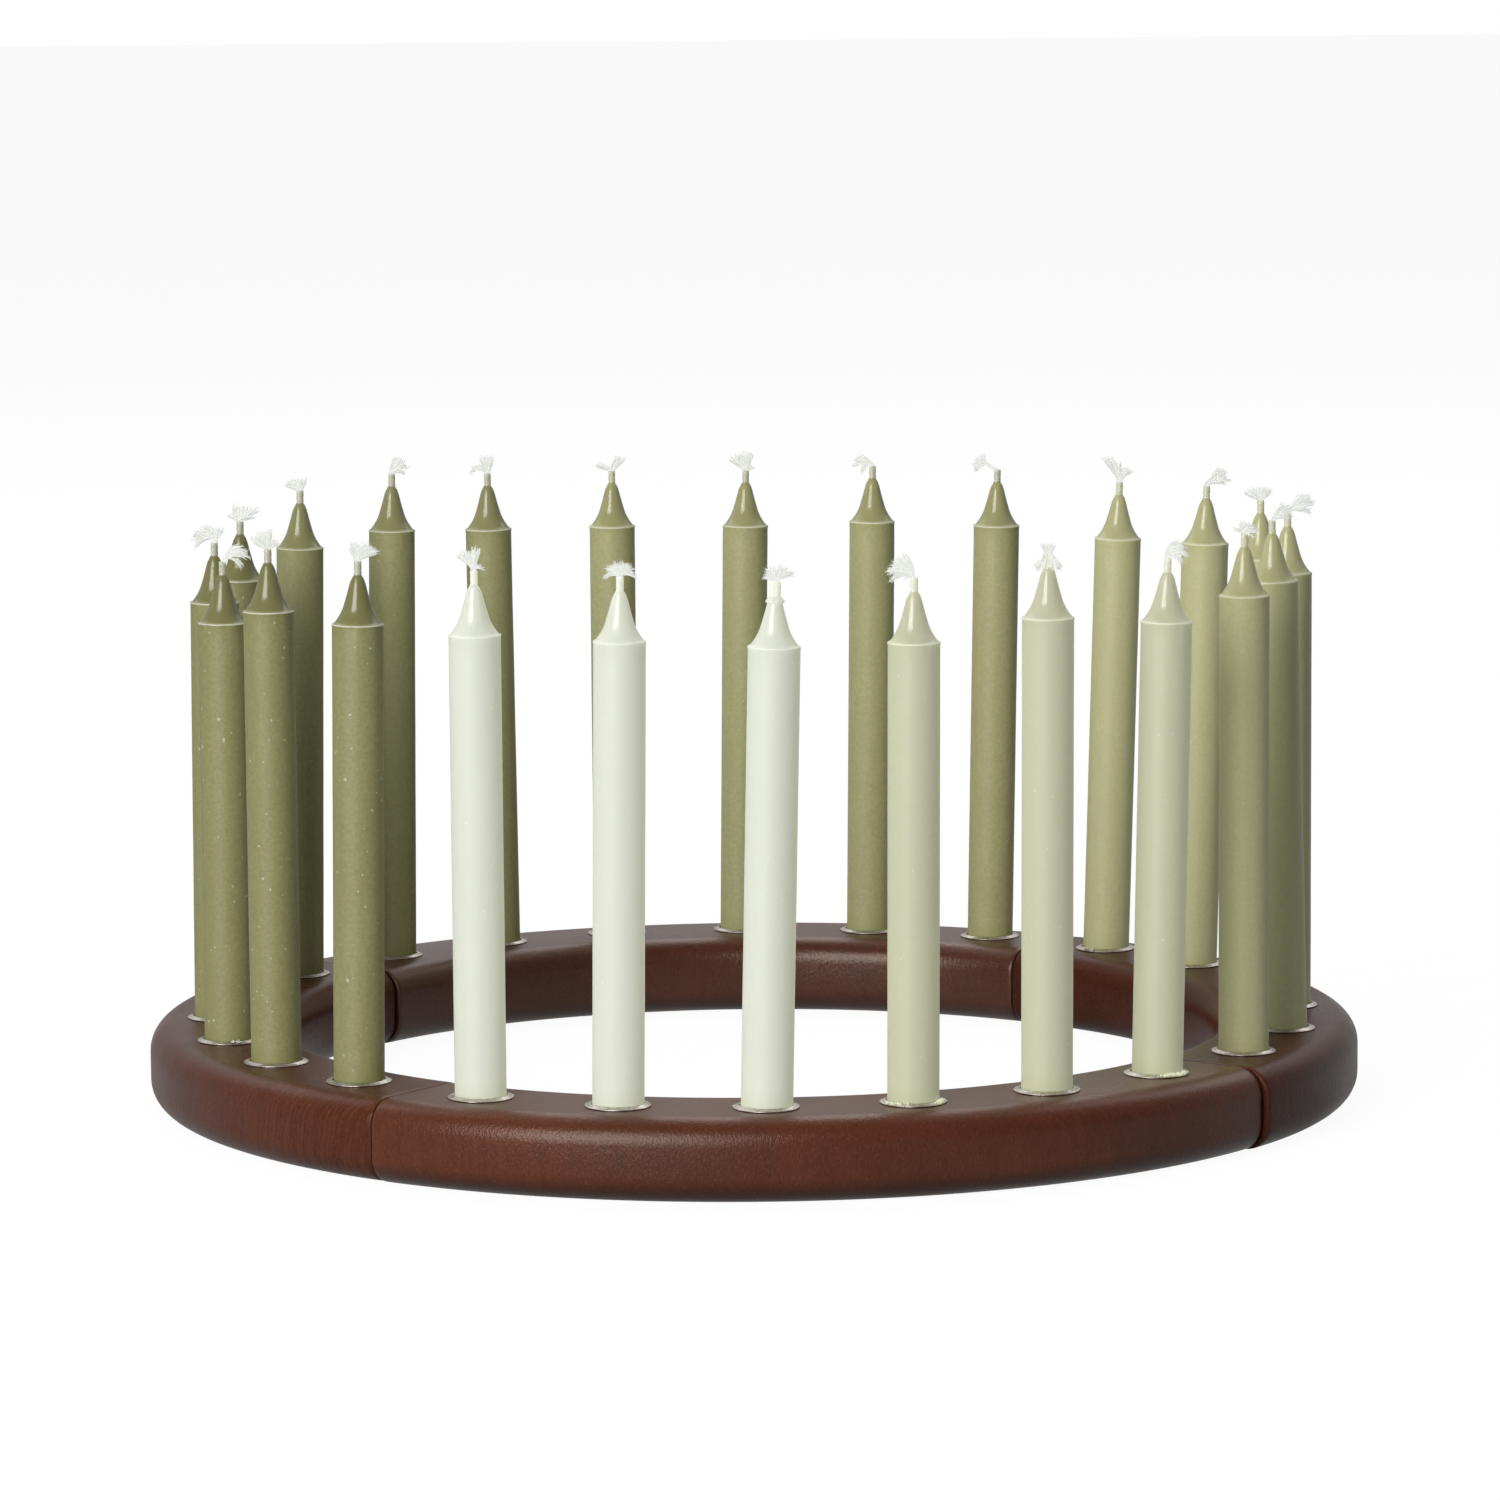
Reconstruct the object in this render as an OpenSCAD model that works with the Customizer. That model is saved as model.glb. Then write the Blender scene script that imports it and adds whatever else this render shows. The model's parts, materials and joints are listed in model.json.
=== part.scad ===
// Advent candle ring: four loose quarter arcs of stained beech, each with six metal candle cups.
// Millimetres, +Z up. The origin is on the table at the middle of the ring, and the front is -Y.

/* [Ring] */
// Outer diameter of the ring
ring_d = 324; // [300:1:360]
// Width of the wooden band
band_w = 38; // [34:1:42]
// Height of the wooden band
ring_h = 21.5; // [20:0.5:28]
// Radius of the band's four rounded edges
edge_r = 7; // [3:0.5:8]
// Gap between the end faces of two neighbouring arcs
joint_gap = 0.4; // [0.3:0.1:1.2]
// How far the arcs have slipped out of line at their joints
joint_slip = 1.3; // [0:0.1:2]

/* [Candle cups] */
// How far the cups sit outside the middle of the band
cup_offset = 0.8; // [0:0.1:2]
// Turn round the ring from one cup of an arc to the next, in degrees
cup_turn = 14.8; // [13.5:0.1:16]
// Depth of a cup below the top of the band
cup_depth = 16; // [10:0.5:17]
// Thickness of the sheet metal
cup_wall = 0.5; // [0.4:0.1:0.8]
// How far the flange reaches past the cup's wall
flange_w = 1.15; // [0.8:0.05:2]
// Width of the flared lip at the mouth
lip_w = 0.45; // [0.2:0.05:0.6]
// Gap between a cup and its hole in the wood
hole_fit = 0.1; // [0.05:0.05:0.3]

/* [Candles] */
// Diameter of a candle
candle_d = 13; // [12:0.1:13.5]
// Play around a candle in its cup
candle_play = 0.25; // [0.15:0.05:0.5]
// Length of a candle from its foot to the top of its cone
candle_len = 145.3; // [120:0.1:180]
// Most that a candle is longer or shorter than that
len_spread = 5; // [0:0.5:8]
// Height of the cone at the top of the candle
cone_h = 12.6; // [11:0.1:16]
// Height of the hollowed foot of the cone
hollow_h = 5.7; // [4:0.1:6.5]
// Diameter of the cone at the top of that foot
hollow_d = 6.6; // [6:0.1:7.5]
// How far the foot's side is hollowed
cone_hollow = 0.4; // [0.2:0.05:0.6]
// Height of the rounded cap at the top of the cone
cap_h = 2.9; // [2:0.1:4]
// Diameter of the cone under its cap
cap_d = 4.4; // [4:0.1:5]
// How far the cap's side bulges
cap_bulge = 0.15; // [0.1:0.05:0.3]
// Radius of the ridge of wax round the shoulder
ridge_r = 0.35; // [0.2:0.05:0.6]
// How far that ridge stands out
ridge_out = 0.1; // [0.05:0.01:0.2]
// Bevel round the candle's foot
foot_bevel = 0.5; // [0.2:0.1:1]

/* [Wicks] */
// Diameter of the cotton wick
wick_d = 1.4; // [1.2:0.1:2]
// Fit of the wick in the wax
wick_fit = 0.05; // [0.03:0.01:0.1]
// Thickness of the wax on the wick above the cone
stub_wax = 0.2; // [0.15:0.05:0.4]
// Height of the waxed stub above the cone
stub_h = 3.4; // [2:0.1:5]
// Length of the bare wick between the stub and the tuft
neck_len = 1.6; // [0.8:0.1:3]
// Length of the tuft's locks
tuft_len = 4.6; // [3:0.1:7]
// Thickness of a lock at its root
lock_d = 1; // [0.7:0.1:1.4]

/* [Hidden] */
SIDES = ["front", "right", "back", "left"];
cups_per_arc = 6;
arc_span = 360 / len(SIDES);
// The middle of the front arc lies this far to the right of the front, in degrees
ring_turn = 8.8;

ring_r = ring_d / 2;
cup_circle_r = ring_r - band_w / 2 + cup_offset;
joint_angle = joint_gap / cup_circle_r * 180 / PI;

candle_r = candle_d / 2;
cup_r = candle_r + candle_play;
cup_outer_r = cup_r + cup_wall;
flange_r = cup_outer_r + flange_w;
cup_floor_z = ring_h - cup_depth;
// Room under a cup's floor in its hole
hole_room = 0.5;
hole_depth = cup_depth + cup_wall + hole_room;
// A candle's foot clears the floor of its cup by this much
seat_gap = 0.02;
overrun = 1;

wick_r = wick_d / 2;
stub_r = wick_r + wick_fit + stub_wax;

round_fn = 96;
wick_fn = 16;
lock_fn = 5;

// Slip of each arc to the right and to the back, as shares of joint_slip
slip_shares = [[-0.25, -0.25], [0.45, -0.9], [0.6, -0.45], [0, 0]];
slip = joint_slip * slip_shares;
ring_centre = [slip[1].x + slip[3].x, slip[0].y + slip[2].y] / 2;

// Lean to the right, as a share of the most that the play in the cup allows
lean_shares = [
    [0, 0.42, 0.75, 0.2, 0.15, 0.65],
    [0, -0.75, 0, 0.3, 0.85, 0.95],
    [0.6, 0.4, 0.45, 0, -0.3, 0.35],
    [0.5, 0.3, 0.25, 0.1, 0, 0.4]
];
// Length above the usual one, as a share of len_spread
length_shares = [
    [-0.05, -0.15, -0.4, -0.35, 0.5, -0.25],
    [0.4, 0.4, 0.1, 0.15, 0.35, 0.1],
    [0.45, 0.5, 0.25, 0.4, 0.55, 0.95],
    [0.6, -0.45, -0.9, -1.2, 0.1, 0]
];
// Six shades of wax, from near white to olive
WAX = ["#e2e6da", "#cdceb4", "#adae88", "#a0a173", "#96976b", "#8f905f"];
wax_shades = [
    [0, 0, 0, 1, 1, 1],
    [2, 2, 2, 2, 2, 2],
    [3, 3, 3, 3, 4, 4],
    [4, 5, 5, 5, 5, 5]
];
// Each wick's turns in degrees to the right: the neck, the fan's middle, half the fan, the droop
wick_turns = [
    [[-5, -12, 38, 0], [0, 0, 75, 25], [0, 5, 55, 10],
     [-35, -25, 60, 35], [0, 0, 30, 0], [40, 35, 45, 30]],
    [[0, -20, 60, 15], [25, 45, 35, 0], [20, 60, 30, 0],
     [0, 0, 40, 0], [35, 60, 30, 0], [-5, -5, 30, 0]],
    [[-60, -75, 25, 0], [-35, -40, 35, 0], [0, -5, 45, 0],
     [0, 0, 65, 0], [0, -5, 60, 0], [15, 30, 40, 10]],
    [[0, -25, 55, 15], [10, 25, 55, 15], [-10, -35, 55, 30],
     [40, 60, 40, 35], [0, 0, 60, 0], [10, 30, 40, 10]]
];
// Each tuft's length as a share of tuft_len
tuft_shares = [
    [1, 0.75, 0.8, 1, 0.7, 1],
    [0.6, 1, 1.2, 0.9, 1, 1.2],
    [1.1, 0.8, 0.9, 1, 0.9, 0.9],
    [0.6, 1, 1.1, 1, 0.9, 0.9]
];
// The locks of a tuft: place across half the fan, depth in degrees, and length
lock_place_shares = [-1, -0.6, -0.25, 0.1, 0.4, 0.7, 1];
lock_depths = [15, -35, 30, -15, 40, -25, 10];
lock_len_shares = [0.85, 1, 0.9, 1.05, 0.85, 1, 0.8];
// Where a lock bends along its length, and how thick it is at its tip
bend_share = 0.55;
tip_share = 0.3;

function cup_angle(a, k) = ring_turn + arc_span * a + (k - (cups_per_arc - 1) / 2) * cup_turn;
function arc_shift(a) = slip[a] - ring_centre;
function cup_place(a, k) =
    cup_circle_r * [sin(cup_angle(a, k)), -cos(cup_angle(a, k))] + arc_shift(a);
function lean(a, k) = lean_shares[a][k] * atan(2 * candle_play / cup_depth);
function body_len(a, k) = candle_len - cone_h + len_spread * length_shares[a][k];

// Cross-section of the band, with its middle at the origin
module band_section() {
    square([band_w - 2 * edge_r, ring_h], center = true);
    square([band_w, ring_h - 2 * edge_r], center = true);
    for (x = [-1, 1], z = [-1, 1])
        translate([x * (band_w / 2 - edge_r), z * (ring_h / 2 - edge_r)])
            circle(edge_r, $fn = round_fn);
}

// One quarter arc of the ring, bored for its cups
module ring_arc(a) {
    span = arc_span - joint_angle;
    color("#5a3428")
    difference() {
        translate(arc_shift(a))
            rotate(ring_turn + arc_span * (a - 1) - span / 2)
                rotate_extrude(angle = span, $fn = 2 * round_fn)
                    translate([ring_r - band_w / 2, ring_h / 2]) band_section();
        for (k = [0 : cups_per_arc - 1])
            translate([each cup_place(a, k), ring_h - hole_depth])
                cylinder(h = hole_depth + overrun, r = cup_outer_r + hole_fit, $fn = round_fn);
    }
}

// A pressed metal cup: floor, wall, flared lip and a flange that lies on the wood
module cup() {
    top = cup_depth + cup_wall;
    rotate_extrude($fn = round_fn)
        polygon([
            [0, -cup_wall], [cup_outer_r, -cup_wall], [cup_outer_r, cup_depth],
            [flange_r, cup_depth], [flange_r, cup_depth + cup_wall / 2],
            [flange_r - cup_wall / 2, top], [cup_r + lip_w, top],
            [cup_r, top - lip_w], [cup_r, 0], [0, 0]
        ]);
}

module arc_cups(a) {
    color("#c9c6bf")
    for (k = [0 : cups_per_arc - 1])
        translate([each cup_place(a, k), cup_floor_z]) cup();
}

// Puts a candle's own pieces, drawn from its foot up, in their cup
module in_cup(a, k) {
    tilt = lean(a, k);
    translate([
        cup_place(a, k).x - cup_depth / 2 * sin(tilt),
        cup_place(a, k).y,
        cup_floor_z + candle_r * sin(abs(tilt)) + seat_gap
    ])
        rotate([0, tilt, 0]) children();
}

// Circle through p and q whose side stands off their chord by rise, with its middle on the left
// of the way from p to q
module chord_circle(p, q, rise) {
    way = (q - p) / norm(q - p);
    r = ((norm(q - p) / 2) ^ 2 + rise ^ 2) / (2 * rise);
    translate((p + q) / 2 + [-way.y, way.x] * (r - rise)) circle(r, $fn = 4 * round_fn);
}

// Half section of a candle's cone: a hollowed foot, a straight side and a rounded cap
module cone_section() {
    foot = [candle_r, 0];
    waist = [hollow_d / 2, hollow_h];
    neck = [cap_d / 2, cone_h - cap_h];
    tip = [stub_r, cone_h];
    difference() {
        polygon([[0, 0], foot, waist, neck, tip, [0, cone_h]]);
        chord_circle(waist, foot, cone_hollow);
    }
    intersection() {
        chord_circle(neck, tip, cap_bulge);
        translate([0, neck.y]) square([neck.x, cap_h]);
    }
}

module candle(a, k) {
    shoulder = body_len(a, k);
    color(WAX[wax_shades[a][k]])
    in_cup(a, k)
        difference() {
            rotate_extrude($fn = round_fn) {
                polygon([
                    [0, 0], [candle_r - foot_bevel, 0], [candle_r, foot_bevel],
                    [candle_r, shoulder], [0, shoulder]
                ]);
                translate([0, shoulder]) cone_section();
                translate([candle_r - ridge_r + ridge_out, shoulder]) circle(ridge_r, $fn = round_fn);
                translate([0, shoulder + cone_h]) square([stub_r, stub_h]);
            }
            translate([0, 0, -overrun])
                cylinder(
                    h = shoulder + cone_h + stub_h + 2 * overrun,
                    r = wick_r + wick_fit, $fn = round_fn
                );
        }
}

// A tapered length of cotton from p to q
module strand(p, p_r, q, q_r) {
    hull() {
        translate(p) cylinder(h = p_r, r = p_r, center = true, $fn = lock_fn);
        translate(q) cylinder(h = q_r, r = q_r, center = true, $fn = lock_fn);
    }
}

function along(turn, depth) = [sin(turn) * cos(depth), sin(depth), cos(turn) * cos(depth)];

module tuft(turns, locks_len) {
    root = neck_len * along(turns[0], 0);
    strand([0, 0, 0], wick_r, root, wick_r);
    for (l = [0 : len(lock_depths) - 1]) {
        reach = locks_len * lock_len_shares[l];
        turn = turns[1] + turns[2] * lock_place_shares[l];
        droop = sign(turn) * turns[3];
        bend = root + reach * bend_share * along(turn, lock_depths[l]);
        tip = bend + reach * (1 - bend_share) * along(turn + droop, lock_depths[l]);
        strand(root, lock_d / 2, bend, lock_d / 2);
        strand(bend, lock_d / 2, tip, lock_d / 2 * tip_share);
    }
}

// The wick runs through the whole candle and ends in a frayed tuft
module wick(a, k) {
    top = body_len(a, k) + cone_h + stub_h;
    color("#f3f1ea")
    in_cup(a, k) {
        cylinder(h = top, r = wick_r, $fn = wick_fn);
        translate([0, 0, top]) tuft(wick_turns[a][k], tuft_len * tuft_shares[a][k]);
    }
}

for (a = [0 : len(SIDES) - 1]) {
    ring_arc(a);
    arc_cups(a);
    for (k = [0 : cups_per_arc - 1]) {
        candle(a, k);
        wick(a, k);
    }
}
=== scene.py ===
"""Looks of the advent candle ring: stained beech arcs, pressed cups, dyed wax and frayed wicks.

Lengths are in millimetres until a mesh is made. Turns are in degrees, to the right as the
camera sees them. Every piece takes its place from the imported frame.
"""
import json
import math
import random

import bmesh
import bpy
from mathutils import Matrix, Vector, noise

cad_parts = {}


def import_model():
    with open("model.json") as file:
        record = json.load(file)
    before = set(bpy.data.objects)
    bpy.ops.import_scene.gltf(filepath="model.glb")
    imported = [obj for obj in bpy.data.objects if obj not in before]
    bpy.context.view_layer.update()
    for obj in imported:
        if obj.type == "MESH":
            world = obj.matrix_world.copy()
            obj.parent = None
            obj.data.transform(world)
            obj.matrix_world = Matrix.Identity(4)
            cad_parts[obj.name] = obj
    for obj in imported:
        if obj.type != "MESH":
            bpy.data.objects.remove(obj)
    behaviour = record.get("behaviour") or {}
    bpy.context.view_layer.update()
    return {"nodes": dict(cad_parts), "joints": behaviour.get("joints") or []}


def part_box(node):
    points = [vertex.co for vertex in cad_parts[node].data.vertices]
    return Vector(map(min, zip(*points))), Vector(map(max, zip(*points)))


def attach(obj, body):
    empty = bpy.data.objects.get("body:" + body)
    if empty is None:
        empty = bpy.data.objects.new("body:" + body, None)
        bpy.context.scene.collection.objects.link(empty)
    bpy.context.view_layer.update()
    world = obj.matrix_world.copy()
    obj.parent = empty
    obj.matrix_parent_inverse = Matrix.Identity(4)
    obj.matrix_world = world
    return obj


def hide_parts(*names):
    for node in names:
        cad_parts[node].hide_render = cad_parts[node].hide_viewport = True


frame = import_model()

MM = 0.001
SIDES = ("front", "right", "back", "left")
CUPS_PER_ARC = 6

# The ring
RING_R = 162
BAND_W = 38
RING_H = 21.5
EDGE_R = 7
END_EASE = 0.7
ARC_SPAN = 90
RING_TURN = 8.8
JOINT_GAP = 0.4
CUP_CIRCLE_R = 143.8
CUP_STEP = 14.8
HOLE_R = 7.35
HOLE_DEPTH = 17
HOLE_SEGMENTS = 48
SHARP_ANGLE = 35

# The cups
CUP_R = 6.75
CUP_DEPTH = 16
SHEET = 0.5
FLANGE_R = 8.4
CUP_SEGMENTS = 72
# How far a flange is out of round, and how far it lifts off the wood
FLANGE_WAVE = 0.12
FLANGE_LIFT = 0.06

# The candles
CANDLE_R = 6.5
CONE_H = 12.6
# Radius and height of the cone at the top of its hollowed foot, and under its rounded cap
HOLLOW_TOP = (3.3, 5.7)
CAP_FOOT = (2.2, 9.7)
STUB_H = 3.4
STUB_R = 0.95
FOOT_BEVEL = 0.5
WAX_SEGMENTS = 64
WAX_ROWS = 34
# Faults of dipped wax: the waves of the body and the beads of the ridge in mm, and the half width
# of a chip in degrees
BODY_WAVE = 0.035
RIDGE_BEAD = 0.05
CHIP_WIDTH = 6
# The ridge round the shoulder, as steps outwards and upwards from the shoulder's edge
RIDGE_OUTLINE = (
    (0.04, -0.4), (0.1, -0.2), (0.12, 0.02), (0.05, 0.2), (-0.12, 0.3), (-0.3, 0.3), (-0.42, 0.34),
)
# The waxed braid of the stub: how far it stands out, and its twist in radians to the mm
BRAID_RELIEF = 0.09
BRAID_TWIST = 1.9

# The wicks
STRAND_R = 0.15
STRAND_SIDES = 5
STRANDS_PER_PLY = 4
HAIR_R = 0.05
HAIR_SIDES = 3
HAIRS_PER_STRAND = 2
# Half the width and depth of the bundle of strands in the stub, and how deep it sits there
BUNDLE_HALF_W = 0.55
BUNDLE_HALF_D = 0.6
STRAND_ROOT = 0.5
# A step that spreads the strands evenly over the bundle's layers
GOLDEN = 0.618
# The strands of a lock differ in length by these shares, open over this share of it, and wander
STRAND_SHARES = (0.82, 1.06)
OPENS_OVER = 0.3
WANDER = 0.05

# The camera, as fitted to the photograph
CAMERA_DISTANCE = 1750
CAMERA_PITCH = 7.293
CAMERA_ROLL = 0.47
CAMERA_AIM = (-0.398, 0, 92.48)
FOCAL_PIXELS = 6517.4
PHOTO_PIXELS = 1500
SENSOR_MM = 36


def srgb(red, green, blue):
    """Linear colour of an sRGB colour given in 0 to 255."""
    def linear(value):
        value /= 255
        return value / 12.92 if value <= 0.04045 else ((value + 0.055) / 1.055) ** 2.4
    return (linear(red), linear(green), linear(blue), 1)


# Wax shades by slot, from near white to olive, and the shade of each candle
WAX = {
    1: srgb(188, 191, 184),
    2: srgb(168, 168, 147),
    3: srgb(195, 194, 149),
    4: srgb(186, 185, 136),
    5: srgb(168, 167, 118),
    6: srgb(148, 147, 99),
}
# How far light travels in the wax, in mm, by slot
SCATTER = {1: 7, 2: 6, 3: 3, 4: 2, 5: 1, 6: 1}
# How strongly the wax is mottled, by slot: the paler, the smoother
MOTTLE = {1: 0.01, 2: 0.02, 3: 0.05, 4: 0.08, 5: 0.09, 6: 0.1}
# Painted glow: emission strength of pale wax, standing in for light that comes back out on its
# shaded side, by slot
PAINTED_INNER_GLOW = {1: 0.52, 2: 0.46, 3: 0.09, 4: 0, 5: 0, 6: 0}
# Painted shade on the glossy cone: how much its colour is darkened from the matt body's, by slot
CONE_PAINTED_SHADE = {1: 0.98, 2: 0.92, 3: 0.87, 4: 0.84, 5: 0.78, 6: 0.72}
# How clearly the ridge round the shoulder shows as a pale line, by slot
RIDGE_PALE = {1: 0.3, 2: 0.55, 3: 0.7, 4: 0.85, 5: 0.95, 6: 0.95}
WAX_OF = {
    "front": (1, 1, 1, 2, 2, 2),
    "right": (3, 3, 3, 3, 3, 3),
    "back": (4, 4, 4, 4, 5, 5),
    "left": (5, 6, 6, 6, 6, 6),
}

# Each tuft: the neck's turn and length, then its locks.
# A lock: turn, droop (both degrees), length (mm), spread (degrees), strands
TUFTS = {
    ("front", 1): ((-3, 1.0), [(-36, -4, 5.0, 7, 8), (-14, 2, 4.6, 9, 9),
                               (9, 2, 5.2, 5, 8), (58, 40, 2.0, 13, 5)]),
    ("front", 2): ((0, 0.5), [(-70, -48, 4.0, 8, 6), (-36, -26, 3.8, 10, 7), (0, 0, 3.5, 11, 7),
                              (36, 28, 3.8, 10, 7), (68, 46, 4.1, 8, 6)]),
    ("front", 3): ((0, 0.6), [(-50, -15, 3.0, 12, 6), (-8, 0, 3.6, 18, 9), (42, 15, 4.4, 14, 9)]),
    ("front", 4): ((-20, 1.0), [(-30, -15, 6.0, 12, 8), (-62, -28, 6.4, 8, 7),
                                (-85, -40, 6.0, 8, 5), (-100, 0, 1.8, 10, 2)]),
    ("front", 5): ((0, 0.5), [(0, 0, 2.3, 20, 10), (-172, 0, 4.8, 6, 8), (172, 0, 4.8, 6, 8),
                              (-150, 0, 5.2, 8, 9), (150, 0, 5.2, 8, 9)]),
    ("front", 6): ((-10, 0.8), [(25, 60, 5.4, 10, 9), (60, 55, 5.6, 8, 7), (95, 40, 4.6, 10, 5)]),
    ("right", 1): ((0, 0.4), [(-50, -30, 2.8, 5, 2), (-10, 60, 3.0, 20, 9),
                              (55, 40, 3.2, 12, 8), (110, 10, 2.4, 8, 4)]),
    ("right", 2): ((20, 0.6), [(42, 10, 5.4, 8, 9), (66, 18, 5.0, 8, 8), (50, 30, 3.6, 12, 6)]),
    ("right", 3): ((15, 0.9), [(48, 5, 6.6, 6, 8), (62, 10, 7.2, 7, 9), (78, 30, 6.2, 6, 5)]),
    ("right", 4): ((0, 0.3), [(-58, 0, 4.4, 7, 7), (-15, 0, 3.8, 14, 8), (32, 0, 3.8, 9, 7)]),
    ("right", 5): ((-10, 0.6), [(52, -8, 6.6, 5, 9), (66, 10, 6.6, 6, 9), (80, 8, 5.2, 4, 4)]),
    ("right", 6): ((0, 0.6), [(-28, -5, 7.6, 4, 7), (-12, 0, 5.6, 4, 5), (22, 38, 4.6, 8, 8)]),
    ("back", 1): ((-62, 4.2), [(-95, 0, 3.2, 22, 11), (-30, 18, 2.8, 5, 2),
                               (-50, 10, 2.2, 5, 2), (-120, 0, 2.8, 8, 5)]),
    ("back", 2): ((-25, 1.2), [(-62, -5, 4.2, 8, 8), (-84, -12, 4.8, 8, 8),
                               (-115, -40, 3.6, 12, 5)]),
    ("back", 3): ((0, 0.3), [(-42, 5, 5.2, 11, 13), (8, 5, 5.4, 6, 6), (48, 20, 2.2, 14, 4)]),
    ("back", 4): ((0, 0.2), [(-60, -12, 4.8, 5, 8), (38, -2, 5.0, 7, 10), (-5, 0, 1.6, 6, 2)]),
    ("back", 5): ((5, 0.5), [(-45, -75, 5.2, 8, 9), (-14, 0, 5.0, 4, 6), (16, -4, 4.8, 4, 6)]),
    ("back", 6): ((-8, 0.6), [(32, 5, 5.0, 9, 8), (52, 12, 4.8, 9, 9), (76, 20, 3.6, 9, 6)]),
    ("left", 1): ((0, 0.3), [(-58, -5, 4.2, 8, 8), (-20, 0, 3.2, 12, 7), (14, 0, 3.4, 8, 7)]),
    ("left", 2): ((0, 0.4), [(-45, 0, 3.2, 10, 7), (-8, 8, 4.2, 12, 8),
                             (45, -30, 5.2, 4, 2), (62, -12, 5.6, 4, 3), (70, 0, 3.6, 6, 3)]),
    ("left", 3): ((15, 1.4), [(15, 0, 3.0, 14, 7), (-35, -40, 5.2, 10, 7),
                              (-68, -35, 6.4, 8, 7), (-95, -30, 6.0, 8, 6)]),
    ("left", 4): ((35, 1.6), [(35, 60, 5.6, 8, 9), (60, 50, 6.0, 8, 8), (100, 40, 5.0, 8, 5)]),
    ("left", 5): ((0, 0.2), [(-42, 0, 4.8, 9, 10), (-6, 0, 5.0, 10, 9), (42, 15, 3.2, 10, 7)]),
    ("left", 6): ((8, 0.4), [(-12, 18, 4.6, 10, 10), (30, 30, 5.2, 10, 10), (58, 8, 5.2, 5, 6)]),
}
# A lock turned further than this hangs down round the stub
HANGS_FROM = 135
# The wick of this candle was folded double, so its stub is wider
WIDE_STUBS = {("front", 3): 1.45}
# Chips in the ridge: the turn where each sits and its depth in mm
CHIPS = {
    ("left", 6): [(-8, 0.5)],
    ("left", 5): [(32, 0.3)],
    ("left", 4): [(14, 0.3), (-35, 0.25)],
    ("left", 1): [(-20, 0.3)],
    ("front", 6): [(25, 0.25)],
}
# Crumbs of wax on the flanges: the turn where each heap sits, its half width, and how many
CRUMBS = {
    ("front", 4): [(-38, 26, 16), (52, 20, 14)],
    ("front", 6): [(38, 40, 34)],
    ("right", 6): [(-48, 20, 10)],
    ("left", 4): [(20, 14, 6)],
}
# Radii of the crumbs, how far out from the cup's inside they lie, and the slope that they lie on
CRUMB_R = (0.22, 0.52)
CRUMB_OUT = (0.45, 1.5)
LIP_TOP = 0.95
FLANGE_FALL = 0.3


# Meshes

def show(name, mesh, body, material):
    """An object that shows mesh in its material and moves with body."""
    thing = bpy.data.objects.new(name, mesh)
    bpy.context.scene.collection.objects.link(thing)
    mesh.materials.append(material)
    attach(thing, body)
    return thing


def piece(name, points, faces, body, material, node=None):
    """A mesh of points in mm in the row frame, in place of a CAD node if one is named."""
    mesh = bpy.data.meshes.new(name)
    mesh.from_pydata([[c * MM for c in p] for p in points], [], faces)
    mesh.update()
    mesh.shade_smooth()
    thing = show(name, mesh, body, material)
    if node:
        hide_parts(node)
    return thing


def ring_faces(rings, count):
    """Quads between successive closed rings of count points each."""
    faces = []
    for first in range(0, (rings - 1) * count, count):
        second = first + count
        for i in range(count):
            j = (i + 1) % count
            faces.append((first + i, first + j, second + j, second + i))
    return faces


def tube(points, faces, path, radii, sides):
    """Adds a tapering tube along path, with both its ends closed."""
    base = len(points)
    side = Vector((0, 1, 0))
    for i, centre in enumerate(path):
        ahead = path[min(i + 1, len(path) - 1)] - path[max(i - 1, 0)]
        ahead.normalize()
        across = ahead.cross(side)
        across.normalize()
        side = across.cross(ahead)
        for k in range(sides):
            angle = 2 * math.pi * k / sides
            points.append(centre + radii[i] * (math.cos(angle) * across - math.sin(angle) * side))
    for a, b, c, d in ring_faces(len(path), sides):
        faces.append((base + a, base + b, base + c, base + d))
    last = base + (len(path) - 1) * sides
    faces.append(tuple(base + k for k in reversed(range(sides))))
    faces.append(tuple(last + k for k in range(sides)))


# Places, read from the frame

def cup_turn(arc, k):
    """Turn of a cup round the ring, counted from the front."""
    return RING_TURN + ARC_SPAN * arc + (k - (CUPS_PER_ARC - 1) / 2) * CUP_STEP


def on_circle(radius, turn):
    """A spot so far from the middle of a circle, at a turn counted from the front."""
    angle = math.radians(turn)
    return Vector((radius * math.sin(angle), -radius * math.cos(angle)))


def arc_centre(arc):
    """Centre of an arc's circle, from the far corner of its cups' box."""
    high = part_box(f"cups_{SIDES[arc]}")[1] / MM
    cups = [on_circle(CUP_CIRCLE_R, cup_turn(arc, k)) for k in range(CUPS_PER_ARC)]
    return Vector((
        high.x - FLANGE_R - max(c.x for c in cups),
        high.y - FLANGE_R - max(c.y for c in cups),
    ))


LIFT_AXES = {j["child"]: Vector(j["axis"]) for j in frame["joints"] if j["name"].endswith("_lift")}


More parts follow.
